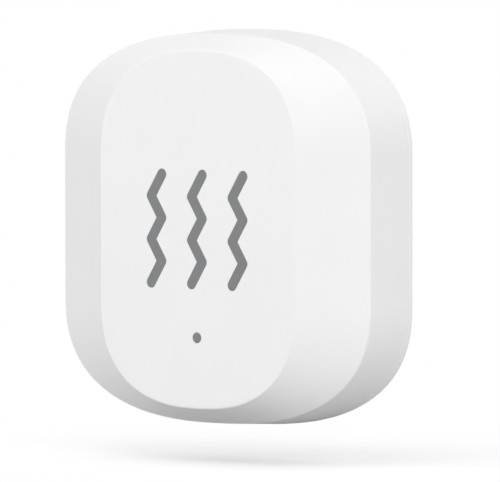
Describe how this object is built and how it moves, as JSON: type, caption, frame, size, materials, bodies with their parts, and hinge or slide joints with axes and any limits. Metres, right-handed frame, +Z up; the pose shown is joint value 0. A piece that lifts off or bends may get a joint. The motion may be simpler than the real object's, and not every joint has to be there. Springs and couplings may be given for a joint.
{
  "type": "vibration sensor",
  "caption": "Rounded-square white plastic vibration sensor tag with a bevelled face, zigzag symbol and status light, which sticks on by its back and unclips from its cover for a coin cell",
  "frame": {"origin": "centre of the adhesive pad's outer face, where it meets the wall", "axes": "+Z up the face as the symbol stands upright, +Y into the wall, so the front face looks along -Y, and +X to the right as seen from the front"},
  "size_m": [0.045, 0.0112, 0.045],
  "materials": {
    "white_plastic": "fine spark-eroded satin, moulded ABS",
    "grey_ink": "matte grey inlay",
    "smoked_window": "smoked clear acrylic",
    "adhesive_foam": "double-sided foam tape",
    "board_laminate": "glass-fibre board under green solder mask",
    "plated_steel": "nickel-plated",
    "black_plastic": "moulded",
    "spring_steel": "nickel-plated spring strip",
    "cell_steel": "spun stainless steel",
    "electrode_paste": "pressed powder",
    "tinned_steel": "tinned sheet",
    "chip_resin": "moulded epoxy",
    "gold_plated_copper": "gold-flashed copper",
    "led_ceramic": "white reflector",
    "led_resin": "clear epoxy",
    "capacitor_ceramic": "fired ceramic with tinned ends",
    "resistor_ceramic": "coated ceramic with tinned ends",
    "capacitor_resin": "moulded epoxy",
    "button_plastic": "moulded"
  },
  "bodies": {
    "wall_cover": {"back_cover": "white_plastic", "adhesive_pad": "adhesive_foam"},
    "sensor_unit": {"front_housing": "white_plastic", "vibration_symbol": "grey_ink", "light_pipe": "smoked_window", "circuit_board": "board_laminate", "board_screws": "plated_steel", "battery_holder": "black_plastic", "positive_contact": "spring_steel", "negative_contact": "spring_steel", "coin_cell_can": "cell_steel", "coin_cell_gasket": "black_plastic", "coin_cell_cap": "cell_steel", "coin_cell_electrodes": "electrode_paste", "radio_board": "board_laminate", "radio_shield": "tinned_steel", "radio_chip": "chip_resin", "radio_crystal": "tinned_steel", "antenna_trace": "gold_plated_copper", "accelerometer": "chip_resin", "status_led": "led_ceramic", "status_led_lens": "led_resin", "chip_capacitors": "capacitor_ceramic", "chip_resistors": "resistor_ceramic", "bulk_capacitor": "capacitor_resin", "button_base": "black_plastic", "button_frame": "tinned_steel", "button_dome": "spring_steel", "button_terminals": "tinned_steel"},
    "reset_button": {"reset_plunger": "button_plastic"}
  },
  "joints": [
    {"name": "housing_pull", "type": "slide", "parent": "wall_cover", "child": "sensor_unit", "axis": [0, -1, 0], "range_m": [0, 0.025]},
    {"name": "reset_press", "type": "slide", "parent": "sensor_unit", "child": "reset_button", "axis": [0, -1, 0], "range_m": [0, 0.00025], "stiffness_N_per_m": 300, "springref_m": -0.003, "deforming": ["button_dome"]}
  ]
}
